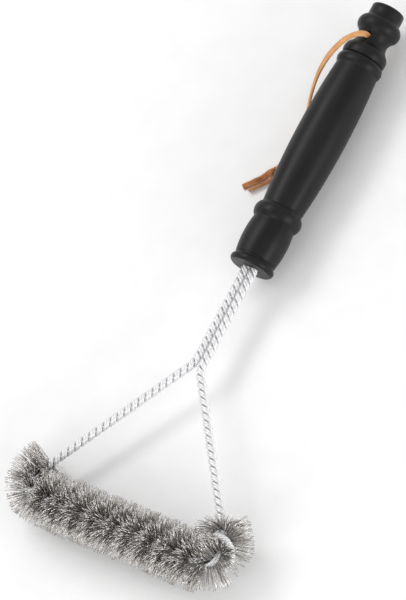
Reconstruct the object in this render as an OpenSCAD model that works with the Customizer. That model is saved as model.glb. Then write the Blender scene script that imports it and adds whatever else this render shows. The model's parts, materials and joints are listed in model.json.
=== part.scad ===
// Grill cleaning brush: two twisted wire cables run side by side out of a
// turned plastic handle, open into a triangle and cross it as two bristled
// rows, one above the other. Each cable ends in a hook round the other one.
// The brush lies flat: +X runs from the head to the handle's knob, +Z is up.
// Built up from the middle line of the rows, then centred over the floor.

/* [Handle] */
// Length of the handle from its rim to the end of the knob
handle_len = 157; // [140:1:200]
// Swell of the grip over its ends
grip_rise = 2; // [1:0.1:3]
// Diameter of the knob at the end
knob_d = 18; // [16:0.5:18]
// Diameter of the cross hole in the neck
hole_d = 4.2; // [4:0.1:5]
// How deep the wires sit in the handle
socket_depth = 40; // [20:1:60]

/* [Wire frame] */
// Diameter of each twisted cable
cable_d = 4.6; // [4:0.1:5]
// From the rows' middle line to the handle's lower face
head_len = 153; // [140:0.1:190]
// Angle of the right arm away from the handle's axis; the frame is bent by hand
right_angle = 37; // [34:0.1:40]
// Angle of the left arm
left_angle = 31; // [30:0.1:40]
// From the axis out to the middle of the cable in the right bend
right_half = 63; // [50:0.5:66]
// From the axis out to the middle of the cable in the left bend
left_half = 53; // [50:0.5:66]
// Radius of the end bends
bend_r = 9; // [8:0.5:10]
// Radius of the first bend, where the arms part
split_r = 12; // [10:1:16]
// Height between the cores of the top row and the bottom row
row_gap = 6; // [5.8:0.1:7]

/* [Hooks] */
// Diameter of the bare, tightly twisted hook
hook_d = 3.6; // [3:0.1:3.8]
// Radius of the hook
hook_r = 9.1; // [9:0.1:10]
// Slope of the hook's plane
hook_tilt = 34.5; // [32:0.5:38]

/* [Bristles] */
// Diameter of a bristled row
bristle_d = 30.6; // [26:0.2:34]

/* [Thong] */
// Width of the leather lace
lace_w = 3; // [2.4:0.1:3.4]
// Diameter of its knot
knot_d = 8; // [7:0.5:9]

/* [Hidden] */
$fn = 64;

stem_y = cable_d/2 + 0.05;          // the two cables lie side by side
hook_lead = 6;                      // straight bare end before the hook
hook_turn = 200;
// values of the right cable (0) and of the left one (1)
angle = [right_angle, left_angle];
half = [right_half, left_half];
row_end = [for (i = [0, 1]) half[i] - bend_r];
bend_end = [for (i = [0, 1]) [bend_r + bend_r*sin(angle[i]),
    row_end[i] + bend_r*cos(angle[i])]];
arm_len = [for (i = [0, 1]) (bend_end[i][1] - stem_y
    - split_r*(1 - cos(angle[i])))/sin(angle[i])];
split_x = [for (i = [0, 1]) bend_end[i][0] + arm_len[i]*cos(angle[i])
    + split_r*sin(angle[i])];
// each head plane slopes a little, so that the rows clear each other
slope = [for (i = [0, 1]) asin(row_gap/2/split_x[i])];
axis_z = row_gap/2 + bristle_d/2;   // height of the handle's axis
centre_x = (head_len + handle_len - bristle_d/2)/2;
centre_y = (left_half - right_half)/2;
hole_s = handle_len - 19.5;         // the cross hole, from the lower face

// An arc from p to q that rises by rise at its middle
function bulge(p, q, rise, n = 10) =
    let (h = norm(q - p)/2, r = (h*h + rise*rise)/(2*rise), u = (q - p)/(2*h),
         v = [-u[1], u[0]], c = (p + q)/2 + v*(rise - r), a = asin(h/r))
    [for (i = [0:n]) let (t = a*(2*i/n - 1)) c + r*(u*sin(t) + v*cos(t))];

// The turned outline as [distance from the lower face, radius]
top = handle_len - 157;
handle_outline = concat(
    [[0, 0]],
    bulge([0, 11.5], [3.8, 11.2], 0.9),             // rim bead
    [[4.4, 10.9], [5, 10.9]],
    bulge([5.2, 11.2], [26.2, 11.4], 1.0, 12),      // barrel
    bulge([26.3, 11.4], [35, 11.2], 1.95),          // lower bead
    [[36.1, 11.1]],
    bulge([36.7, 11.2], [top + 119.8, 11.65], grip_rise, 28),
    bulge([top + 119.9, 11.65], [top + 125.8, 11.45], 1.1),
    [[top + 126.1, 11.1]],                          // V groove
    bulge([top + 126.4, 11.6], [top + 132.8, 10.5], 0.95),
    bulge([top + 132.9, 10.4], [top + 142.1, 10.8], -2.1, 12),
    bulge([top + 142.2, 10.9], [top + 149.9, knob_d/2 + 0.3], 1.8),
    [[top + 150.6, knob_d/2], [top + 155.9, knob_d/2]],
    bulge([top + 156, knob_d/2 - 0.05], [top + 157, knob_d/2 - 1.1], 0.3, 4),
    [[top + 157, 0]]);

// Routes of the lace's middle line from the centre of the cross hole
front_route = [[0, 0, 0], [0, 0, 4], [0, 0, 7.5], [-0.6, 0.6, 10.6],
    [-2.2, 2.3, 13], [-5, 5, 14.2], [-8.5, 7.8, 14], [-12.5, 10.6, 12.4],
    [-17, 13.5, 9.6], [-21.5, 15.8, 6.4], [-26, 17.6, 2.8], [-30, 18.8, -0.8],
    [-34, 19.7, -4.6], [-38.5, 20.3, -8.8], [-43.5, 20.4, -12.8],
    [-49, 20.1, -15.6], [-55, 19.9, -16.6], [-62, 20.2, -16.7],
    [-69, 20.8, -16.5], [-74.5, 21.3, -15.8], [-78.6, 21.3, -14.9]];
back_route = [[0, 0, 0], [0, 0, -4], [0, 0, -7.5], [-0.6, 0.4, -10.6],
    [-2.4, 1.5, -13.6], [-5.6, 3.2, -15.8], [-10, 5.4, -16.6],
    [-17, 8.2, -16.7], [-25, 10.8, -16.7], [-33, 12.8, -16.7],
    [-41, 14.2, -16.7], [-49, 15, -16.7], [-57, 15.6, -16.7],
    [-65, 16.4, -16.7], [-72.5, 18, -16.2], [-78.4, 20, -15.1]];
knot_at = [-80.5, 21.2, -14.2];
wide_route = [[-81.2, 23.7, -14.6], [-84, 26, -16.2], [-87, 28.9, -16.7],
    [-90.2, 31.8, -16.7], [-93.2, 34.6, -16.7]];
thin_route = [[-84, 21.1, -15.1], [-86, 23, -16.3], [-88.5, 25.8, -16.7],
    [-91.4, 28, -16.7], [-94, 30.1, -16.7]];

function unit(v) = v/norm(v);
// The direction of a route at its point i: the mean of its two stretches
function heading(route, i) = let (n = len(route) - 1)
    unit(unit(route[min(i + 1, n)] - route[min(i, n - 1)])
        + unit(route[max(i, 1)] - route[max(i - 1, 0)]));

// A rod between two points
module rod(a, b, d) {
    v = b - a;
    translate(a) rotate([0, acos(v[2]/norm(v)), atan2(v[1], v[0])])
        cylinder(d = d, h = norm(v));
}

// A lace along a route: eight sides, one ring at each point
module lace(route) {
    n = len(route);
    side = [for (i = [0:n - 1]) unit(cross(heading(route, i), [0.5, 0.85, -0.2]))];
    rings = [for (i = [0:n - 1], k = [0:7])
        let (s = side[i], w = cross(heading(route, i), s))
        route[i] + lace_w/2*(s*cos(45*k) + w*sin(45*k))];
    polyhedron(rings, concat(
        [[for (k = [0:7]) k]],
        [for (i = [0:n - 2], k = [0:7]) let (a = 8*i + k, b = 8*i + (k + 1) % 8)
            each [[a, a + 8, b], [b, a + 8, b + 8]]],
        [[for (k = [7:-1:0]) 8*(n - 1) + k]]), convexity = 6);
}

// Stands the brush on the floor, centred
module placed() { translate([-centre_x, -centre_y, axis_z]) children(); }
// The left cable is made like the right one, turned half round the axis
module side(i) { rotate([180*i, 0, 0]) children(); }
// The plane of one cable's arm and bend
module head_plane(i) {
    translate([split_x[i], 0, 0]) rotate([0, slope[i], 0])
        translate([-split_x[i], 0, 0]) children();
}
module at_hole() { translate([head_len + hole_s, 0, 0]) children(); }

// The stem's length of cable, cut off where the head plane begins
module shank(i) {
    side(i) difference() {
        rod([split_x[i] - 1, -stem_y, 0],
            [head_len + socket_depth, -stem_y, 0], cable_d);
        head_plane(i) translate([split_x[i] - 4, -stem_y - cable_d, -cable_d])
            cube([4, 2*cable_d, 2*cable_d]);
    }
}
module fork(i) {
    side(i) head_plane(i) translate([split_x[i], -stem_y - split_r, 0])
        rotate([0, 0, 90]) rotate_extrude(angle = angle[i])
            translate([split_r, 0]) circle(d = cable_d);
}
module arm(i) {
    side(i) head_plane(i) rod([split_x[i] - split_r*sin(angle[i]),
        -stem_y - split_r*(1 - cos(angle[i])), 0],
        [bend_end[i][0], -bend_end[i][1], 0], cable_d);
}
// The end bend, as wide as d and with a bore along its middle line
module bend(i, d, bore) {
    side(i) head_plane(i) translate([bend_r, -row_end[i], 0])
        rotate([0, 0, 180]) rotate_extrude(angle = 90 + angle[i])
            intersection() {
                translate([bend_r, 0]) difference() {
                    circle(d = d);
                    if (bore > 0) circle(d = bore);
                }
                translate([0.5, -d]) square([4*d, 2*d]);
            }
}
module row_core(i) {
    side(i) rod([0, -row_end[i], row_gap/2],
        [0, row_end[1 - i] + hook_lead, row_gap/2], cable_d);
}
module hook(i) {
    side(i) translate([0, row_end[1 - i] + hook_lead, row_gap/2])
        rotate([0, hook_tilt, 0]) translate([hook_r, 0, 0])
            rotate([0, 0, 180 - hook_turn]) rotate_extrude(angle = hook_turn)
                translate([hook_r, 0]) circle(d = hook_d);
}
// A row's bristles, cut at the middle plane where the other row's begin
module row_bristles(i) {
    side(i) intersection() {
        difference() {
            rod([0, -row_end[i], row_gap/2],
                [0, row_end[1 - i], row_gap/2], bristle_d);
            rod([0, -half[i], row_gap/2], [0, half[1 - i], row_gap/2], cable_d);
        }
        translate([-bristle_d, -2*half[i], 0])
            cube([2*bristle_d, 4*half[i], bristle_d]);
    }
}

module handle() {
    color("#303030") placed() difference() {
        translate([head_len, 0, 0]) rotate([0, 90, 0]) rotate_extrude()
            polygon([for (p = handle_outline) [p[1], p[0]]]);
        // socket for the two shanks
        for (s = [-1, 1])
            rod([head_len - 1, s*stem_y, 0],
                [head_len + socket_depth, s*stem_y, 0], cable_d);
        translate([head_len - 1, -stem_y, -cable_d/2])
            cube([socket_depth + 1, 2*stem_y, cable_d]);
        // cross hole for the lace
        at_hole() cylinder(d = hole_d, h = 40, center = true);
    }
}
module right_shank() { color("#d4d4d8") placed() shank(0); }
module left_shank() { color("#d4d4d8") placed() shank(1); }
module right_fork() { color("#d4d4d8") placed() fork(0); }
module left_fork() { color("#d4d4d8") placed() fork(1); }
module right_arm() { color("#d4d4d8") placed() arm(0); }
module left_arm() { color("#d4d4d8") placed() arm(1); }
module right_bend() { color("#d4d4d8") placed() bend(0, cable_d, 0); }
module left_bend() { color("#d4d4d8") placed() bend(1, cable_d, 0); }
module top_row_core() { color("#c8c8cc") placed() row_core(0); }
module bottom_row_core() { color("#c8c8cc") placed() row_core(1); }
module top_row_hook() { color("#e0e0e4") placed() hook(0); }
module bottom_row_hook() { color("#e0e0e4") placed() hook(1); }
module top_row_bristles() { color("#8c8682") placed() row_bristles(0); }
module bottom_row_bristles() { color("#8c8682") placed() row_bristles(1); }
module right_end_bristles() {
    color("#94877c") placed() bend(0, bristle_d, cable_d);
}
module left_end_bristles() {
    color("#94877c") placed() bend(1, bristle_d, cable_d);
}
module lace_front() { color("#d89a5c") placed() at_hole() lace(front_route); }
module lace_back() { color("#d89a5c") placed() at_hole() lace(back_route); }
module lace_knot() {
    color("#c07838") placed() at_hole() translate(knot_at) sphere(d = knot_d);
}
module lace_tail_wide() { color("#b5652f") placed() at_hole() lace(wide_route); }
module lace_tail_thin() { color("#b5652f") placed() at_hole() lace(thin_route); }

handle();
left_shank();
right_shank();
left_fork();
right_fork();
left_arm();
right_arm();
left_bend();
right_bend();
top_row_core();
bottom_row_core();
top_row_hook();
bottom_row_hook();
top_row_bristles();
bottom_row_bristles();
left_end_bristles();
right_end_bristles();
lace_front();
lace_back();
lace_knot();
lace_tail_wide();
lace_tail_thin();
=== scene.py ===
# %% [markdown]
# # A grill cleaning brush
# The object is a long brush for scrubbing a hot grill. Two twisted wire cables
# leave a turned plastic handle side by side, fork into a triangle, and cross the
# head as two bristled rows. A leather lace hangs from a hole in the handle's neck.
# This file dresses the CAD model: it keeps the CAD's sizes and joints, and makes
# each piece again as the thing it really is, wire by wire and bristle by bristle.
# The other way would be to paint the CAD rods, but then no twist would show in
# the outline, and the outline is most of what one sees of a wire brush.

# %% Load the frame
import json
import math

import bmesh
import bpy
import numpy as np
from mathutils import Matrix, Vector


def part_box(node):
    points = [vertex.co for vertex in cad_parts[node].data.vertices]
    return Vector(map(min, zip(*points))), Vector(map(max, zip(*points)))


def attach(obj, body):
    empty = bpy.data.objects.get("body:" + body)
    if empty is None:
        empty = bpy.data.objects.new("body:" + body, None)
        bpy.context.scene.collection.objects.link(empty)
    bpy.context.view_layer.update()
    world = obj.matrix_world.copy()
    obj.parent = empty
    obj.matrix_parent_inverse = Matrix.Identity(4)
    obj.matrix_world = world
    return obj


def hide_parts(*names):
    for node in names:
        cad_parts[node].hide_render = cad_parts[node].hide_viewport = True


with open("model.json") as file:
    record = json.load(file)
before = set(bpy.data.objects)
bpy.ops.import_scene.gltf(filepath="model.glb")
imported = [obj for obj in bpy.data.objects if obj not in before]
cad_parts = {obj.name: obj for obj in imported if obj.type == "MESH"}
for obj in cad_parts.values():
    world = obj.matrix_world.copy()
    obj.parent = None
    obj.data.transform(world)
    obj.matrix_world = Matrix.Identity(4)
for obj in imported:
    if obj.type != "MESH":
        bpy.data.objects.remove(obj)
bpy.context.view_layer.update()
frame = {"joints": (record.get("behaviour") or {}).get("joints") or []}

# %% [markdown]
# ## Where things are
# Every place comes from the CAD parts, so nothing has to be fitted by eye. The
# handle's box gives its axis and its two ends, and the top row's core gives the
# line of the rows. Lengths below are in millimetres from the point of the handle's
# axis that is over the rows, because a maker thinks in millimetres; `placed` turns
# them into metres in the shared frame.

# %% Read the axis, the rows and the hole
MM = 0.001
handle_low, handle_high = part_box("handle")
core_low, core_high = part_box("top_row_core")
AXIS_Y = (handle_low[1] + handle_high[1])/2
AXIS_Z = (handle_low[2] + handle_high[2])/2
ROW_X = (core_low[0] + core_high[0])/2
CENTRE = np.array([ROW_X, AXIS_Y, AXIS_Z])
FACE = (handle_low[0] - ROW_X)/MM
HANDLE_LENGTH = (handle_high[0] - handle_low[0])/MM
ROW_RISE = ((core_low[2] + core_high[2])/2 - AXIS_Z)/MM
HOLE = np.array(frame["joints"][0]["pos_m"])
HOLE_STATION = (HOLE[0] - handle_low[0])/MM
print("handle starts", round(FACE, 2), "mm from the rows and is",
      round(HANDLE_LENGTH, 2), "mm long; rows are", round(ROW_RISE, 2), "mm off the axis")


def placed(points):
    """Millimetres from the middle of the rows to metres in the shared frame."""
    return CENTRE + np.asarray(points, float)*MM


# %% [markdown]
# ## Camera
# The brush lies flat and is seen from above and from the head's side, leaning a
# little to the right. A long lens from far away keeps the handle and the head at
# almost the same scale; a short lens would swell the nearer end.

# %% Set the camera
def unit(vectors):
    """Vectors of length one, one or many at a time."""
    vectors = np.asarray(vectors, float)
    return vectors/np.linalg.norm(vectors, axis=-1, keepdims=True)


to_camera = unit([-0.2358, -0.437, 0.868])
right_of_view = unit(np.cross([0.8552, 0.3308, 0.3989], to_camera))
top_of_view = np.cross(to_camera, right_of_view)
VIEW_SCALE = 1.948                  # how large a millimetre is, in a 406 x 600 frame
FRAME_HEIGHT = 600
SENSOR_HEIGHT = 24                  # millimetres, as the lens is
CAMERA_DISTANCE = 3.0
AIM_STATION = 149.75                # along the handle's axis, just before the rim
AIM_LEFT = 22.8
AIM_DOWN = 13.4
aim = placed([AIM_STATION, 0, 0]) - (right_of_view*AIM_LEFT + top_of_view*AIM_DOWN)*MM
camera_data = bpy.data.cameras.new("camera")
camera = bpy.data.objects.new("camera", camera_data)
bpy.context.scene.collection.objects.link(camera)
camera_data.sensor_fit = "VERTICAL"
camera_data.sensor_height = SENSOR_HEIGHT
camera_data.lens = SENSOR_HEIGHT*CAMERA_DISTANCE/(FRAME_HEIGHT/VIEW_SCALE*MM)
camera_data.clip_end = 50
stand = aim + to_camera*CAMERA_DISTANCE
camera.matrix_world = Matrix([
    [right_of_view[k], top_of_view[k], to_camera[k], stand[k]] for k in range(3)]
    + [[0, 0, 0, 1]])
bpy.context.scene.camera = camera
print("lens", round(camera_data.lens, 1), "mm at", CAMERA_DISTANCE, "m")

# %% [markdown]
# ## Sweeping a section along a line
# Lace, wires and bristles are all long thin things, so one helper serves them all.
# It takes the middle lines and, at each point, two half-size vectors across the
# line, and joins the rings into closed tubes. Curves with a bevel would be quicker
# to type, but they can't turn a flat lace on its edge or thin a bristle to its tip
# in thousands of copies. Each point also remembers where it would be if the piece
# were laid out straight, and materials use that place for grain that follows the
# piece round every bend.

# %% Make tubes from rings
LAID_APART = 0.05                   # between neighbours laid out straight, in metres


def keep(name, vertices, faces, attributes=()):
    """A mesh object in the scene, with the named values on its points."""
    mesh = bpy.data.meshes.new(name)
    mesh.from_pydata(vertices.tolist(), [], faces)
    for title, values in attributes:
        kind = "FLOAT_VECTOR" if values.ndim == 2 else "FLOAT"
        field = "vector" if values.ndim == 2 else "value"
        layer = mesh.attributes.new(title, kind, "POINT")
        layer.data.foreach_set(field, np.ascontiguousarray(values, np.float32).ravel())
    mesh.polygons.foreach_set("use_smooth", np.ones(len(mesh.polygons), bool))
    mesh.validate()
    mesh.update()
    made = bpy.data.objects.new(name, mesh)
    bpy.context.scene.collection.objects.link(made)
    return made


def tubes(name, lines, across, beyond, sides, tone_and_painted_light=None, power=1.0):
    """Closed tubes along lines; power below 1 squares the section up."""
    count, rings, _ = lines.shape
    turn = 2*math.pi*np.arange(sides)/sides
    cosine = np.sign(np.cos(turn))*np.abs(np.cos(turn))**power
    sine = np.sign(np.sin(turn))*np.abs(np.sin(turn))**power
    points = (lines[:, :, None, :] + across[:, :, None, :]*cosine[None, None, :, None]
              + beyond[:, :, None, :]*sine[None, None, :, None])
    index = np.arange(count*rings*sides).reshape(count, rings, sides)
    following = np.roll(index, -1, axis=2)
    quads = np.stack([index[:, :-1], following[:, :-1], following[:, 1:],
                      index[:, 1:]], -1).reshape(-1, 4)
    faces = quads.tolist() + index[:, 0, ::-1].tolist() + index[:, -1].tolist()
    run = np.linalg.norm(np.diff(lines, axis=1), axis=2)
    along = np.concatenate([np.zeros((count, 1)), np.cumsum(run, axis=1)], axis=1)
    wide = np.linalg.norm(across, axis=2)
    thick = np.linalg.norm(beyond, axis=2)
    straight = np.stack([
        wide[:, :, None]*cosine, thick[:, :, None]*sine,
        np.repeat(along[:, :, None], sides, axis=2)], -1).reshape(-1, 3)
    straight[:, 0] += LAID_APART*np.repeat(np.arange(count), rings*sides)
    attributes = [("straight", straight)]
    if tone_and_painted_light is not None:
        attributes.append(("tone_and_painted_light", np.repeat(tone_and_painted_light, rings*sides)))
    return keep(name, points.reshape(-1, 3), faces, attributes)


def smooth_line(points, step):
    """A rounded line through the points, with a point about every step."""
    points = np.asarray(points, float)
    ends = np.vstack([2*points[0] - points[1], points, 2*points[-1] - points[-2]])
    line = []
    for a, b, c, d in zip(ends, ends[1:], ends[2:], ends[3:]):
        count = max(1, int(round(np.linalg.norm(c - b)/step)))
        for t in np.arange(count)/count:
            line.append(0.5*(2*b + (c - a)*t + (2*a - 5*b + 4*c - d)*t**2
                             + (3*b - a - 3*c + d)*t**3))
    line.append(points[-1])
    return np.array(line)


def headings(line):
    """The direction of a line at each of its points."""
    return unit(np.gradient(line, axis=0))


def length_of(line):
    """The length of a line of points."""
    return float(np.linalg.norm(np.diff(line, axis=0), axis=1).sum())


# %% [markdown]
# ## Leather lace
# The lace is a flat leather strip, 3 mm wide and about 1.4 mm thick. It passes
# through the cross hole of the neck; its front half comes up out of the hole, falls
# beside the grip on its edge and meets the back half at an overhand knot, from
# which two short ends stick out. A curve with a round bevel would look like a cord,
# so the strip is swept with a flat, slightly rounded section that turns from broad
# side to edge as it goes. The middle lines of the two strands are the CAD's own
# routes; the two short ends start a little deeper inside the knot.

# %% Routes of the lace, in metres from the middle of the cross hole
front_route = np.array([
    [0, 0, 0], [0, 0, 4], [0, 0, 7.5], [-0.6, 0.6, 10.6],
    [-2.2, 2.3, 13], [-5, 5, 14.2], [-8.5, 7.8, 14], [-12.5, 10.6, 12.4],
    [-17, 13.5, 9.6], [-21.5, 15.8, 6.4], [-26, 17.6, 2.8], [-30, 18.8, -0.8],
    [-34, 19.7, -4.6], [-38.5, 20.3, -8.8], [-43.5, 20.4, -12.8],
    [-49, 20.1, -15.6], [-55, 19.9, -16.6], [-62, 20.2, -16.7],
    [-69, 20.8, -16.5], [-74.5, 21.3, -15.8], [-78.6, 21.3, -14.9]])*MM
back_route = np.array([
    [0, 0, 0], [0, 0, -4], [0, 0, -7.5], [-0.6, 0.4, -10.6],
    [-2.4, 1.5, -13.6], [-5.6, 3.2, -15.8], [-10, 5.4, -16.6],
    [-17, 8.2, -16.7], [-25, 10.8, -16.7], [-33, 12.8, -16.7],
    [-41, 14.2, -16.7], [-49, 15, -16.7], [-57, 15.6, -16.7],
    [-65, 16.4, -16.7], [-72.5, 18, -16.2], [-78.4, 20, -15.1]])*MM
wide_tail_route = np.array([
    [-79.8, 22, -14.2], [-81.4, 23.9, -14.8], [-84, 26.1, -16.4],
    [-87, 28.9, -16.9], [-90.2, 31.8, -17], [-93.2, 34.6, -17]])*MM
thin_tail_route = np.array([
    [-82, 20.4, -14.4], [-84, 21.1, -15.1], [-86, 23, -16.3],
    [-88.5, 25.8, -16.7], [-91.4, 28.2, -16.7], [-94, 30.5, -16.7]])*MM
KNOT = HOLE + np.array([-80.5, 21.2, -14.2])*MM
LACE_WIDTH = 3.0*MM
LACE_THICKNESS = 1.4*MM
WIDE_TAIL_WIDTH = 3.25*MM
LACE_STEP = 0.8*MM
LACE_SIDES = 16


def lace_strip(name, route, turning, width=LACE_WIDTH):
    """A flat strip along a route; turning is (place 0..1, degrees on its edge)."""
    line = smooth_line(HOLE + route, LACE_STEP)
    heading = headings(line)
    flat = unit(np.cross(heading, to_camera))
    edge = np.cross(heading, flat)
    place = np.linspace(0, 1, len(line))
    angle = np.radians(np.interp(place, *zip(*turning)))[:, None]
    across = flat*np.cos(angle) + edge*np.sin(angle)
    beyond = np.cross(heading, across)
    wander = 1 + 0.04*np.sin(place*23) + 0.02*np.sin(place*61 + 1)
    strip = tubes(name, line[None], (across*width/2*wander[:, None])[None],
                  (beyond*LACE_THICKNESS/2)[None], LACE_SIDES, power=0.55)
    print(name, round(length_of(line)/MM, 1), "mm long,", len(line), "rings")
    return strip, line


# %% Sweep the two strands and the two ends
lace_front, front_line = lace_strip(
    "lace_front_strand", front_route,
    [(0, 0), (0.12, 0), (0.3, 35), (0.5, 70), (0.75, 85), (1, 70)])
lace_back, back_line = lace_strip(
    "lace_back_strand", back_route,
    [(0, 0), (0.15, 0), (0.4, 40), (0.7, 60), (1, 60)])
tail_wide = lace_strip(
    "lace_wide_tail", wide_tail_route, [(0, 30), (0.4, 5), (1, 0)], WIDE_TAIL_WIDTH)[0]
tail_thin = lace_strip("lace_thin_tail", thin_tail_route, [(0, 60), (1, 88)])[0]

# %% [markdown]
# The knot is an overhand knot pulled tight. A ball would show no strands, so the
# same strip is swept round a trefoil, the closed form of that knot, small enough
# that its turns press into each other as pulled leather does.

# %% Tie the knot
KNOT_SIZE = 0.86*MM
KNOT_DEPTH = 1.3
KNOT_HALF_WIDTH = 1.25*MM
KNOT_HALF_THICKNESS = 0.75*MM
turn = np.linspace(0, 2*math.pi, 121)
knot_long = unit([-0.9, 0.44, 0])
knot_short = unit([-0.2, -0.4, 0.9])
knot_axes = np.array([knot_long, knot_short, unit(np.cross(knot_long, knot_short))])
trefoil = np.stack([np.sin(turn) + 2*np.sin(2*turn), np.cos(turn) - 2*np.cos(2*turn),
                    -KNOT_DEPTH*np.sin(3*turn)], -1)*KNOT_SIZE
knot_line = KNOT + trefoil @ knot_axes
knot_heading = headings(knot_line)
outward = unit(knot_line - KNOT)
knot_across = unit(np.cross(knot_heading, outward))
knot_beyond = np.cross(knot_heading, knot_across)
knot = tubes("lace_knot_tied", knot_line[None], (knot_across*KNOT_HALF_WIDTH)[None],
             (knot_beyond*KNOT_HALF_THICKNESS)[None], 12, power=0.7)
print("knot is", [round(x/MM, 1) for x in knot.dimensions], "mm")

for piece, node in ((lace_front, "lace_front"), (lace_back, "lace_back"),
                    (knot, "lace_knot"), (tail_wide, "lace_tail_wide"),
                    (tail_thin, "lace_tail_thin")):
    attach(piece, "lace_loop")
    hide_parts(node)

# %% [markdown]
# ## Lines of the two cables
# Each cable is one piece of twisted wire from inside the handle to the tip of its
# hook: stem, fork, straight arm, end bend, bristled row and hook. The left cable is
# the right one turned half round the handle's axis, but the frame is bent by hand,
# so its angle and length differ a little. The line is put together from straight
# stretches and arcs as a bending jig would make it, then cut into even steps.

# %% Build the line of a cable
ANGLE = np.radians([37.0, 31.0])    # of the right arm and the left, from the axis
HALF = np.array([63.0, 53.0])       # from the axis to each end of the head
BEND_RADIUS = 9.0
FORK_RADIUS = 12.0
STEM_Y = 2.35
IN_HANDLE = 38.0
CABLE_STEP = 0.45
HOOK_RADIUS = 9.1
HOOK_LEAD = 6.0
HOOK_TILT = math.radians(34.5)
HOOK_TURN = math.radians(200)
ROW_END = HALF - BEND_RADIUS


def arc(centre, radius, start, stop):
    """Points of an arc in the plane, every degree or so."""
    count = max(3, int(abs(math.degrees(stop - start))))
    turn = np.linspace(start, stop, count)
    return np.stack([centre[0] + radius*np.cos(turn), centre[1] + radius*np.sin(turn),
                     np.zeros(count)], -1)


def turned_about_y(points, angle):
    """Points turned about the Y direction."""
    cosine, sine = math.cos(angle), math.sin(angle)
    return np.stack([points[:, 0]*cosine + points[:, 2]*sine, points[:, 1],
                     points[:, 2]*cosine - points[:, 0]*sine], -1)


def even_steps(line, step):
    """The same line with a point at every step of its length."""
    run = np.concatenate([[0], np.cumsum(np.linalg.norm(np.diff(line, axis=0), axis=1))])
    places = np.linspace(0, run[-1], int(run[-1]/step) + 1)
    return np.stack([np.interp(places, run, line[:, k]) for k in range(3)], -1), places


def cable_line(side):
    """The middle line of cable 0 (right) or 1 (left), and where its parts begin."""
    angle = ANGLE[side]
    row_end = ROW_END[side]
    arm_end = np.array([BEND_RADIUS*(1 + math.sin(angle)),
                        row_end + BEND_RADIUS*math.cos(angle)])
    drop = FORK_RADIUS*(1 - math.cos(angle))
    arm = (arm_end[1] - STEM_Y - drop)/math.sin(angle)
    split = arm_end[0] + arm*math.cos(angle) + FORK_RADIUS*math.sin(angle)
    stem = np.array([[FACE + IN_HANDLE, -STEM_Y, 0], [split + 0.5, -STEM_Y, 0]])
    flat = np.vstack([
        arc((split, -STEM_Y - FORK_RADIUS), FORK_RADIUS, math.pi/2, math.pi/2 + angle),
        arc((BEND_RADIUS, -row_end), BEND_RADIUS, 1.5*math.pi + angle, math.pi)])
    slope = math.asin(ROW_RISE/split)
    head = turned_about_y(flat - [split, 0, 0], slope) + [split, 0, 0]
    far = ROW_END[1 - side] + HOOK_LEAD
    hook = arc((HOOK_RADIUS, 0), HOOK_RADIUS, math.pi, math.pi - HOOK_TURN)
    hook = turned_about_y(hook, HOOK_TILT) + [0, far, ROW_RISE]
    whole = np.vstack([stem, head, hook])
    if side == 1:
        whole = whole*[1, -1, -1]
    line, places = even_steps(whole, CABLE_STEP)
    bend_begins = length_of(np.vstack([stem, head[:int(math.degrees(angle)) + 1]]))
    row_begins = length_of(np.vstack([stem, head]))
    row_stops = row_begins + row_end + ROW_END[1 - side]
    marks = {"bend": bend_begins, "row": row_begins, "row_stops": row_stops,
             "hook": row_stops + HOOK_LEAD, "end": places[-1]}
    return line, places, marks


right_cable_line, right_places, right_marks = cable_line(0)
left_cable_line, left_places, left_marks = cable_line(1)
print("right cable", {k: round(float(v), 1) for k, v in right_marks.items()})
print("left cable", {k: round(float(v), 1) for k, v in left_marks.items()})

# %% [markdown]
# ## Twisted wire
# A cable is four galvanised wires laid as two pairs, twisted left-handed. The lay
# is tight in the bare stem and arms, slow where bristles are caught between the
# pairs, and tightest in the bare hooks. A texture could fake the twist, but its
# lobes shape the outline, so each wire is swept as its own helix about the cable's
# line. The frame that carries the helix is moved along without turning, so the
# bends don't add or take away twist.

# %% Carry a frame along a line
def carried_frame(line):
    """Two directions across the line that don't turn about it."""
    heading = headings(line)
    across = np.empty_like(line)
    start = unit(np.cross(heading[0], [0, 0, 1.0]))
    across[0] = start
    for k in range(1, len(line)):
        moved = across[k - 1] - heading[k]*np.dot(across[k - 1], heading[k])
        across[k] = unit(moved)
    return heading, across, np.cross(heading, across)


def eased(places, table):
    """Values along the cable from a table of (place, value), even in between."""
    return np.interp(places, [row[0] for row in table], [row[1] for row in table])


def lay_of(places, marks):
    """Lay angle, helix radius, wire radius and angle between a pair's two wires."""
    pitch = eased(places, [(0, 8.8), (marks["bend"] - 2, 8.8), (marks["bend"] + 5, 20),
                           (marks["row"] + 4, 22), (marks["row_stops"] - 2, 22),
                           (marks["hook"] - 3, 6.4), (marks["end"], 6.0)])
    helix = eased(places, [(0, 1.56), (marks["row_stops"] - 4, 1.56),
                           (marks["hook"] - 2, 1.17), (marks["end"], 1.13)])
    wire = eased(places, [(0, 0.81), (marks["row_stops"] - 4, 0.8),
                          (marks["hook"] - 2, 0.65), (marks["end"], 0.65)])
    apart = np.radians(eased(places, [(0, 64), (marks["row_stops"] - 4, 62),
                                      (marks["hook"] - 2, 84), (marks["end"], 86)]))
    lay = -np.cumsum(2*math.pi/pitch*np.gradient(places))
    return lay, helix, wire, apart


# %% Twist the wires of both cables
PAIRS = [(0, -0.5), (0, 0.5), (math.pi, -0.5), (math.pi, 0.5)]
SIDES_OF_WIRE = 10


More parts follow.
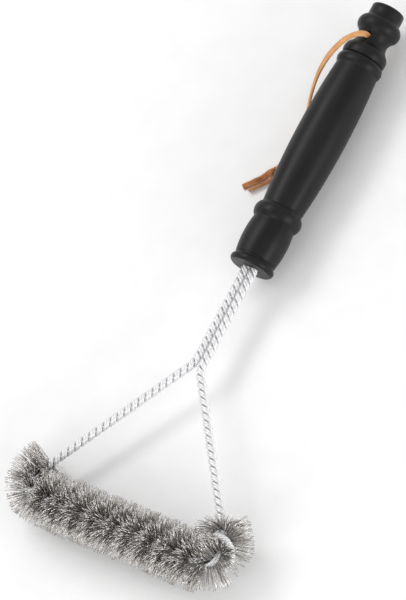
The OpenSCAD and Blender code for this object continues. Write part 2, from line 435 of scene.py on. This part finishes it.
def twisted_cable(name, line, places, marks, first_turn):
    """Four wires in two pairs, as one piece."""
    heading, across, beyond = carried_frame(line)
    lay, helix, wire, apart = lay_of(places, marks)
    lines, wides, thicks = [], [], []
    for pair, place_in_pair in PAIRS:
        turn = (lay + pair + place_in_pair*apart + first_turn)[:, None]
        strand = line + (across*np.cos(turn) + beyond*np.sin(turn))*helix[:, None]
        strand = placed(strand)
        run = headings(strand)
        wide = unit(np.cross(run, heading))
        lines.append(strand)
        wides.append(wide*wire[:, None]*MM)
        thicks.append(np.cross(run, wide)*wire[:, None]*MM)
    piece = tubes(name, np.array(lines), np.array(wides), np.array(thicks), SIDES_OF_WIRE)
    print(name, round(places[-1], 1), "mm of cable,", len(piece.data.polygons), "faces")
    return piece


RIGHT_TURN = 0.4                    # where each lay starts, so that the lobes fall right
LEFT_TURN = 1.9
right_cable = twisted_cable("right_cable_wires", right_cable_line, right_places,
                            right_marks, RIGHT_TURN)
left_cable = twisted_cable("left_cable_wires", left_cable_line, left_places,
                           left_marks, LEFT_TURN)
for piece, side, row in ((right_cable, "right", "top"), (left_cable, "left", "bottom")):
    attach(piece, "brush")
    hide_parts(side + "_shank", side + "_fork", side + "_arm", side + "_bend",
                row + "_row_core", row + "_row_hook")

# %% [markdown]
# ## Bristles
# The bristles are short steel wires laid across the cable before it is twisted, so
# each one comes out of the gap between the two pairs, on both sides, and the lay of
# the cable turns them into a double spiral fan. Hair particles would be lighter to
# set up, but don't export as shape, so the wires are made as thin tubes, about
# eleven thousand of them, from seeded draws of numbers. Neighbours share a lean,
# because bristles stick together in small tufts.

# %% Grow bristles along a stretch of cable
BRISTLE_REACH = 15.3
BRISTLE_RADIUS = 0.2
TAPER = np.array([1, 1, 0.97, 0.93, 0.82])
GAP_TURN = math.pi/2                # from a pair of wires to the gap beside it
TUFT_LENGTH = 1.1                   # of cable, for each tuft
TUFT_TURN = 0.35                    # of the spread of the single bristles
TUFT_LEAN = 0.08
TUFT_CURL = 0.03
LEAN = 0.075
CURL = 0.018
CURL_GAIN = 0.6
ROOT_HEIGHT = 0.3
ROOT_SPREAD = 0.25
ABOVE_FLOOR = 0.2


def bristles(name, cable, start, stop, count, seed, spread, hook, room):
    """Bristles out of the gap between the pairs, clear of the other cable's hook."""
    line, places, marks, first_turn = cable
    rng = np.random.default_rng(seed)
    heading, across, beyond = carried_frame(line)
    lay = lay_of(places, marks)[0]
    tufts = int((stop - start)/TUFT_LENGTH)
    place = rng.uniform(start, stop, count)
    tuft = ((place - start)/(stop - start)*tufts).astype(int).clip(0, tufts - 1)
    half = rng.integers(0, 2, count)
    which = tuft*2 + half
    tuft_turn = rng.normal(0, spread*TUFT_TURN, 2*tufts)[which]
    tuft_lean = rng.normal(0, TUFT_LEAN, 2*tufts)[which]
    tuft_curl = rng.normal(0, TUFT_CURL, (2*tufts, 3))[which]
    tuft_reach = rng.uniform(0.95, 1.0, 2*tufts)[which]
    middle = np.stack([np.interp(place, places, line[:, k]) for k in range(3)], -1)
    run = unit(np.stack([np.interp(place, places, heading[:, k]) for k in range(3)], -1))
    wide = np.stack([np.interp(place, places, across[:, k]) for k in range(3)], -1)
    wide = unit(wide - run*(wide*run).sum(1, keepdims=True))
    other = np.cross(run, wide)
    turn = (np.interp(place, places, lay) + first_turn + GAP_TURN + math.pi*half
            + tuft_turn + rng.normal(0, spread, count))[:, None]
    outward = wide*np.cos(turn) + other*np.sin(turn)
    sideways = -wide*np.sin(turn) + other*np.cos(turn)
    lean = (tuft_lean + rng.normal(0, LEAN, count))[:, None]
    aim_at = unit(outward + run*lean)
    curl = tuft_curl + rng.normal(0, CURL, (count, 3))
    length = BRISTLE_REACH*tuft_reach*rng.uniform(0.92, 1.01, count)
    root = middle + outward*ROOT_HEIGHT + run*rng.normal(0, ROOT_SPREAD, (count, 1))
    t = np.linspace(0, 1, len(TAPER))
    lines = (root[:, None, :] + aim_at[:, None, :]*(length[:, None]*t)[:, :, None]
             + (curl*length[:, None])[:, None, :]*(t**2)[None, :, None]*CURL_GAIN)
    from_core = lines - middle[:, None, :]
    off_axis = from_core - run[:, None, :]*(from_core*run[:, None, :]).sum(2, keepdims=True)
    far = np.linalg.norm(off_axis[:, -1], axis=1)
    shrink = np.minimum(1, BRISTLE_REACH/far)[:, None, None]
    lines = middle[:, None, :] + from_core*shrink
    lines[:, :, 2] = np.maximum(lines[:, :, 2], -AXIS_Z/MM + ABOVE_FLOOR)
    gaps = np.linalg.norm(lines[:, 1:, None, :] - hook[None, None], axis=3)
    keepers = gaps.min(axis=(1, 2)) > room
    lines = lines[keepers]
    direction = unit(lines[:, -1] - lines[:, 0])
    wide = unit(np.cross(direction, sideways[keepers] + 0.01))
    thick = np.cross(direction, wide)
    radii = (TAPER*BRISTLE_RADIUS*MM)[None, :, None]
    wides = wide[:, None, :]*radii
    thicks = thick[:, None, :]*radii
    # A random tone per bristle, which the material turns into colour and painted light: dark for
    # painted shade, near white for a painted highlight.
    piece = tubes(name, placed(lines), wides, thicks, 3, tone_and_painted_light=rng.uniform(0, 1, len(lines)))
    print(name, len(lines), "bristles,", len(piece.data.polygons), "faces")
    return piece


# %% Fill the two rows and the two ends
def hook_of(line, places, marks):
    """The bare hook's own line, thinned, for bristles to keep clear of."""
    return line[places > marks["row_stops"] + 3][::3]


right_hook = hook_of(left_cable_line, left_places, left_marks)
left_hook = hook_of(right_cable_line, right_places, right_marks)
right_twist = (right_cable_line, right_places, right_marks, RIGHT_TURN)
left_twist = (left_cable_line, left_places, left_marks, LEFT_TURN)
top_row = bristles(
    "top_row_bristle_wires", right_twist, right_marks["row"], right_marks["row_stops"],
    count=4300, seed=11, spread=0.54, hook=right_hook, room=2.2)
bottom_row = bristles(
    "bottom_row_bristle_wires", left_twist, left_marks["row"], left_marks["row_stops"],
    count=4300, seed=12, spread=0.54, hook=left_hook, room=1.0)
right_end = bristles(
    "right_end_bristle_wires", right_twist, right_marks["bend"] - 9, right_marks["row"],
    count=1350, seed=13, spread=0.6, hook=right_hook, room=2.4)
left_end = bristles(
    "left_end_bristle_wires", left_twist, left_marks["bend"] - 6, left_marks["row"],
    count=1100, seed=14, spread=0.7, hook=left_hook, room=1.0)
for piece, node in ((top_row, "top_row_bristles"), (bottom_row, "bottom_row_bristles"),
                    (right_end, "right_end_bristles"), (left_end, "left_end_bristles")):
    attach(piece, "brush")
    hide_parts(node)

# %% [markdown]
# ## Turned handle
# The handle is a moulded copy of a turned wooden one: a rim, a short barrel, a
# bead, a long swelling grip, another bead, a V groove, a waist with the cross hole,
# a round bead and a small knob. A lathe shape is an outline turned about the axis,
# so the outline is drawn as arcs, each given by its two ends and its rise, and
# turned in 128 steps. Ends are (place along the axis, radius), in millimetres. The
# Screw modifier would do the same; the mesh code keeps the rings where the outline
# bends. The socket for the cables and the hole for
# the lace are then cut with Boolean modifiers, with a rounded mouth on the hole.

# %% Draw the outline
def bulge(start, stop, rise, steps=10):
    """An arc from start to stop that stands rise out at its middle."""
    start, stop = np.array(start, float), np.array(stop, float)
    half = np.linalg.norm(stop - start)/2
    radius = (half**2 + rise**2)/(2*rise)
    along = (stop - start)/(2*half)
    out = np.array([-along[1], along[0]])
    centre = (start + stop)/2 + out*(rise - radius)
    reach = math.asin(half/radius)
    turn = np.linspace(-reach, reach, steps + 1)[:, None]
    return centre + radius*(along*np.sin(turn) + out*np.cos(turn))


DRAWN_LENGTH = 157                  # the length the numbers below are drawn for
LONGER = HANDLE_LENGTH - DRAWN_LENGTH
KNOB = 9.0                          # the knob's radius
outline = np.vstack([
    [[0, 9.2], [0, 11.1]],
    bulge([0.25, 11.45], [3.8, 11.2], 0.9),
    [[4.4, 10.9], [5, 10.9]],
    bulge([5.2, 11.2], [26.2, 11.4], 1.0, 16),
    bulge([26.3, 11.4], [35, 11.2], 1.95, 18),
    [[36.1, 11.1]],
    bulge([36.7, 11.2], [LONGER + 119.8, 11.65], 2.0, 44),
    bulge([LONGER + 119.9, 11.65], [LONGER + 125.8, 11.45], 1.1, 12),
    [[LONGER + 126.1, 11.1]],
    bulge([LONGER + 126.4, 11.6], [LONGER + 132.8, 10.5], 0.95, 12),
    bulge([LONGER + 132.9, 10.4], [LONGER + 142.1, 10.8], -2.1, 20),
    bulge([LONGER + 142.2, 10.9], [LONGER + 149.9, KNOB + 0.3], 1.8, 16),
    [[LONGER + 150.6, KNOB], [LONGER + 153.4, KNOB], [LONGER + 155.9, KNOB]],
    bulge([LONGER + 156, KNOB - 0.05], [LONGER + 157, KNOB - 1.1], 0.3, 6),
    [[LONGER + 157, KNOB - 3]]])
print("outline has", len(outline), "rings, thickest", round(2*outline[:, 1].max(), 2), "mm")

# %% Turn it and cut the sockets and the hole
TURNS = 128
HOLE_SIDES = 48
SOCKET_DEPTH = IN_HANDLE + 2


def turned(name, rings):
    """A closed solid of revolution about the handle's axis."""
    turn = 2*math.pi*np.arange(TURNS)/TURNS
    x = np.repeat(FACE + rings[:, 0], TURNS)
    radius = np.repeat(rings[:, 1], TURNS)
    around = np.tile(turn, len(rings))
    points = placed(np.stack([x, radius*np.cos(around), radius*np.sin(around)], -1))
    index = np.arange(len(points)).reshape(len(rings), TURNS)
    following = np.roll(index, -1, axis=1)
    quads = np.stack([index[:-1], following[:-1], following[1:], index[1:]], -1)
    faces = quads.reshape(-1, 4).tolist() + [index[0, ::-1].tolist(), index[-1].tolist()]
    return keep(name, points, faces)


def cutter(name, line, radii):
    """A round tool along a line, for cutting."""
    line = np.asarray(line, float)
    radii = np.asarray(radii, float)[:, None]
    heading = unit(line[-1] - line[0])
    wide = unit(np.cross(heading, [0.3, 1, 0.1]))
    return tubes(name, placed(line)[None], (wide*radii*MM)[None],
                 (np.cross(heading, wide)*radii*MM)[None], HOLE_SIDES)


def cut(piece, tool):
    """Takes the tool's shape out of the piece for good."""
    modifier = piece.modifiers.new("cut", "BOOLEAN")
    modifier.operation = "DIFFERENCE"
    modifier.solver = "EXACT"
    modifier.object = tool
    graph = bpy.context.evaluated_depsgraph_get()
    finished = bpy.data.meshes.new_from_object(piece.evaluated_get(graph))
    piece.modifiers.clear()
    piece.data = finished
    bpy.data.objects.remove(tool)


handle = turned("turned_handle", outline)
# The hole's tool and the socket's tool, as places along them and radii there.
lip = np.array([[-14, 3.4], [-9.7, 2.9], [-9.2, 2.45], [-8.6, 2.2], [-7.5, 2.1],
                [7.5, 2.1], [8.6, 2.2], [9.2, 2.45], [9.7, 2.9], [14, 3.4]])
across_neck = np.stack([np.full(len(lip), FACE + HOLE_STATION), np.zeros(len(lip)),
                        lip[:, 0]], -1)
cut(handle, cutter("hole_tool", across_neck, lip[:, 1]))
for where in (-STEM_Y, STEM_Y):
    reach = [[FACE - 1, where, 0], [FACE + 0.05, where, 0], [FACE + 0.9, where, 0],
             [FACE + SOCKET_DEPTH, where, 0]]
    cut(handle, cutter("socket_tool", reach, [3.0, 2.75, 2.42, 2.42]))
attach(handle, "brush")
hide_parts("handle")
print("handle", len(handle.data.polygons), "faces, size in mm",
      [round(x/MM, 1) for x in handle.dimensions])

# %% [markdown]
# The turned skin has to shade smoothly along the curves, but break at the rim,
# the grooves and the cut edges. Marking edges sharp by their angle does that
# without a modifier.

# %% Mark the sharp edges
SHARP_ANGLE = math.radians(32)
mesh = bmesh.new()
mesh.from_mesh(handle.data)
sharp = 0
for edge in mesh.edges:
    if len(edge.link_faces) == 2 and edge.calc_face_angle(0) > SHARP_ANGLE:
        edge.smooth = False
        sharp += 1
for face in mesh.faces:
    face.smooth = True
mesh.to_mesh(handle.data)
mesh.free()
print(sharp, "sharp edges")

# %% [markdown]
# ## Materials
# Four finishes: black moulded plastic, bright galvanised wire, fine steel bristles
# and leather. Each is a small node graph, because an image would be tied to one
# size and one layout. `Finish` starts a material and gives short names to its
# parts; every finish then varies its colour, its roughness and its relief.

# %% Helpers for node graphs
class Finish:
    """A material being built: its nodes, its links and its shader."""

    def __init__(self, name, **values):
        self.material = bpy.data.materials.new(name)
        self.material.use_nodes = True
        self.nodes = self.material.node_tree.nodes
        self.links = self.material.node_tree.links
        self.shader = self.nodes["Principled BSDF"]
        for title, value in values.items():
            self.shader.inputs[title.replace("_", " ")].default_value = value

    def node(self, kind, **settings):
        made = self.nodes.new(kind)
        for title, value in settings.items():
            if title in made.inputs:
                made.inputs[title].default_value = value
            else:
                setattr(made, title, value)
        return made

    def stretched(self, places, scale):
        mapping = self.node("ShaderNodeMapping")
        mapping.inputs["Scale"].default_value = scale
        self.links.new(places, mapping.inputs["Vector"])
        return mapping.outputs["Vector"]

    def straight(self, scale):
        """Places on the piece laid out straight, stretched by scale."""
        source = self.node("ShaderNodeAttribute", attribute_name="straight")
        return self.stretched(source.outputs["Vector"], scale)

    def solid(self, scale):
        """Places in the block the piece was cut from, stretched by scale."""
        source = self.node("ShaderNodeTexCoord")
        return self.stretched(source.outputs["Object"], scale)

    def noise(self, places, scale, detail=4.0, roughness=0.5):
        made = self.node("ShaderNodeTexNoise", Scale=scale, Detail=detail,
                         Roughness=roughness)
        self.links.new(places, made.inputs["Vector"])
        return made.outputs["Fac"]

    def ramp(self, value, stops):
        """Colours against a value, as (place, colour) pairs."""
        made = self.node("ShaderNodeValToRGB")
        ramp = made.color_ramp
        while len(ramp.elements) < len(stops):
            ramp.elements.new(0.5)
        for element, (place, colour) in zip(ramp.elements, stops):
            element.position = place
            element.color = (*colour, 1)
        self.links.new(value, made.inputs["Fac"])
        return made.outputs["Color"]

    def between(self, value, low, high, start=0.3, stop=0.7):
        """The value spread from low to high."""
        made = self.node("ShaderNodeMapRange")
        for title, number in (("From Min", start), ("From Max", stop),
                              ("To Min", low), ("To Max", high)):
            made.inputs[title].default_value = number
        self.links.new(value, made.inputs["Value"])
        return made.outputs["Result"]

    def mixed(self, factor, first, second, blend="MIX"):
        """Two colours mixed by a factor, or multiplied."""
        made = self.node("ShaderNodeMix", data_type="RGBA", blend_type=blend)
        for value, socket in ((factor, made.inputs[0]), (first, made.inputs[6]),
                              (second, made.inputs[7])):
            if isinstance(value, (int, float)):
                socket.default_value = value
            elif isinstance(value, tuple):
                socket.default_value = (*value, 1)
            else:
                self.links.new(value, socket)
        return made.outputs[2]

    def colour(self, value):
        self.links.new(value, self.shader.inputs["Base Color"])

    def roughness(self, value):
        self.links.new(value, self.shader.inputs["Roughness"])

    def relief(self, heights):
        """Bumps of (value, strength, depth), one on top of the other."""
        normal = None
        for value, strength, depth in heights:
            bump = self.node("ShaderNodeBump", Strength=strength, Distance=depth)
            self.links.new(value, bump.inputs["Height"])
            if normal is not None:
                self.links.new(normal, bump.inputs["Normal"])
            normal = bump.outputs["Normal"]
        self.links.new(normal, self.shader.inputs["Normal"])

    def on(self, *pieces):
        for piece in pieces:
            piece.data.materials.clear()
            piece.data.materials.append(self.material)
        print(self.material.name, "has", len(self.nodes), "nodes, on",
              ", ".join(piece.name for piece in pieces))


# %% [markdown]
# ### Black handle plastic
# Moulded polypropylene with a satin skin: nearly black, a little greyer where it is
# rubbed, with faint flow marks along the axis, a fine grain, and hairline scratches
# that run round and along the grip.

# %% Black handle plastic
plastic = Finish("satin_black_plastic", Metallic=0.0, IOR=1.42, Specular_IOR_Level=0.3)
flow = plastic.noise(plastic.solid((30, 160, 160)), 1.0, 5, 0.55)
grain = plastic.noise(plastic.solid((1, 1, 1)), 2600, 3, 0.6)
scratches = plastic.noise(plastic.solid((60, 1800, 1800)), 1.0, 2, 0.5)
plastic.colour(plastic.ramp(flow, [(0.3, (0.005, 0.005, 0.0055)), (0.55, (0.009, 0.009, 0.0095)),
                                   (0.8, (0.014, 0.014, 0.0145))]))
plastic.roughness(plastic.between(flow, 0.34, 0.46))
plastic.relief([(flow, 0.12, 0.0003), (scratches, 0.06, 0.0001), (grain, 0.12, 0.00008)])
plastic.on(handle)

# %% [markdown]
# ### Galvanised wire
# Zinc over drawn steel: bright, with the die's fine lines along the wire and the
# cloudy grey patches that zinc grows. The grain follows the straight place, so it
# winds with each wire.

# %% Galvanised wire
zinc = Finish("galvanised_wire", Metallic=0.35)
cloud = zinc.noise(zinc.straight((1, 1, 1)), 900, 4, 0.6)
drawn = zinc.noise(zinc.straight((5200, 5200, 90)), 1.0, 3, 0.6)
zinc.colour(zinc.mixed(0.35, zinc.ramp(cloud, [
    (0.28, (0.74, 0.74, 0.76)), (0.5, (0.87, 0.87, 0.88)), (0.75, (0.96, 0.96, 0.97))]),
    zinc.ramp(drawn, [(0.35, (0.65, 0.65, 0.66)), (0.65, (1, 1, 1))]), "MULTIPLY"))
zinc.roughness(zinc.between(cloud, 0.28, 0.45))
zinc.relief([(drawn, 0.25, 0.00006), (cloud, 0.15, 0.0001)])
zinc.on(right_cable, left_cable)

# %% [markdown]
# ### Bristle steel
# Uncoated spring steel wire, grey with a brown cast. Every bristle gets a random
# tone, kept on its points, that runs from dark grey to white: partly the steel's own
# variation, partly painted shade and painted highlight that stand in for neighbours
# catching the light differently, so the mass doesn't melt into one grey.

# %% Bristle steel
steel = Finish("bristle_steel", Metallic=0.8)
tone_and_painted_light = steel.node("ShaderNodeAttribute", attribute_name="tone_and_painted_light").outputs["Fac"]
rub = steel.noise(steel.straight((1, 1, 1)), 700, 3, 0.6)
# The tone ramp is colour and painted light at once: its dark end is painted shade and its
# near-white end a painted highlight on single bristles.
steel.colour(steel.mixed(0.5, steel.ramp(tone_and_painted_light, [
    (0.0, (0.36, 0.338, 0.32)), (0.4, (0.76, 0.735, 0.71)), (0.75, (0.97, 0.95, 0.93)),
    (1.0, (1.0, 1.0, 1.0))]),
    steel.ramp(rub, [(0.3, (0.74, 0.72, 0.7)), (0.65, (1, 1, 1))]), "MULTIPLY"))
steel.roughness(steel.between(rub, 0.2, 0.33))
steel.relief([(rub, 0.2, 0.00005)])
steel.on(top_row, bottom_row, right_end, left_end)

# %% [markdown]
# ### Leather
# Vegetable tanned lace: honey tan on the smooth side, with pores and a few darker
# pull marks. The cut ends beyond the knot are browner and rougher, like suede, so
# they and the knot take a second, deeper mix of the same recipe.

# %% Leather
def leather(name, dark, middle, light, rough):
    made = Finish(name, Metallic=0.0, Sheen_Weight=0.15, Sheen_Roughness=0.5)
    mottle = made.noise(made.straight((1, 1, 0.35)), 420, 5, 0.6)
    pores = made.node("ShaderNodeTexVoronoi", Scale=2600.0)
    made.links.new(made.straight((1, 1, 1)), pores.inputs["Vector"])
    fibre = made.noise(made.straight((2600, 2600, 260)), 1.0, 4, 0.65)
    made.colour(made.mixed(0.3, made.ramp(mottle, [(0.28, dark), (0.5, middle),
                                                   (0.75, light)]),
                           made.ramp(fibre, [(0.3, (0.55, 0.5, 0.45)), (0.65, (1, 1, 1))]),
                           "MULTIPLY"))
    made.roughness(made.between(fibre, rough - 0.08, rough + 0.1))
    made.relief([(mottle, 0.25, 0.0002), (pores.outputs["Distance"], 0.25, 0.0001),
                 (fibre, 0.3, 0.00012)])
    return made


tan = leather("tan_lace_leather", (0.46, 0.2, 0.06), (0.66, 0.32, 0.11), (0.8, 0.45, 0.19), 0.5)
tan.on(lace_front, lace_back)
suede = leather("suede_brown_leather", (0.16, 0.05, 0.015), (0.42, 0.15, 0.04),
                (0.72, 0.34, 0.12), 0.75)
suede.on(knot, tail_wide, tail_thin)

# %% [markdown]
# ## Floor and light
# A pale floor and soft light from above and from both sides. Large area lights
# give the long soft bands on the handle; a sun would give hard lines and a hard
# shadow.

# %% Floor
FLOOR_REACH = 3.0                   # to each side, in metres
CELLS = 24
grid = np.linspace(-FLOOR_REACH, FLOOR_REACH, CELLS + 1)
floor_points = np.array([[x, y, 0.0] for x in grid for y in grid])
index = np.arange((CELLS + 1)**2).reshape(CELLS + 1, CELLS + 1)
floor_faces = np.stack([index[:-1, :-1], index[1:, :-1], index[1:, 1:],
                        index[:-1, 1:]], -1).reshape(-1, 4).tolist()
floor = keep("pale_floor", floor_points, floor_faces)
paper = Finish("pale_paper", Metallic=0.0, Roughness=0.9)
fleck = paper.noise(paper.solid((1, 1, 1)), 60, 3, 0.5)
paper.colour(paper.ramp(fleck, [(0.3, (0.9, 0.9, 0.9)), (0.7, (0.93, 0.93, 0.93))]))
paper.roughness(paper.between(fleck, 0.85, 0.95))
paper.relief([(fleck, 0.02, 0.0002)])
paper.on(floor)

# %% Lights
world = bpy.data.worlds.new("studio")
world.use_nodes = True
world.node_tree.nodes["Background"].inputs["Color"].default_value = (1, 1, 1, 1)
world.node_tree.nodes["Background"].inputs["Strength"].default_value = 0.71
bpy.context.scene.world = world
bpy.context.scene.view_settings.view_transform = "Standard"


def softbox(name, place, size, power):
    """An area light that looks at the middle of the brush."""
    light = bpy.data.lights.new(name, "AREA")
    light.shape = "RECTANGLE"
    light.size = size[0]
    light.size_y = size[1]
    light.energy = power
    lamp = bpy.data.objects.new(name, light)
    bpy.context.scene.collection.objects.link(lamp)
    lamp.location = place
    aim_at = Vector((0, 0, 0)) - Vector(place)
    lamp.rotation_euler = aim_at.to_track_quat("-Z", "Y").to_euler()
    print(name, power, "W")


softbox("key_light", (0.3, 0.9, 1.3), (1.2, 0.5), 8.5)
softbox("fill_light", (-0.3, -1.4, 0.4), (1.5, 0.5), 9)
softbox("head_light", (-1.2, 0.1, 0.8), (0.6, 0.6), 3)
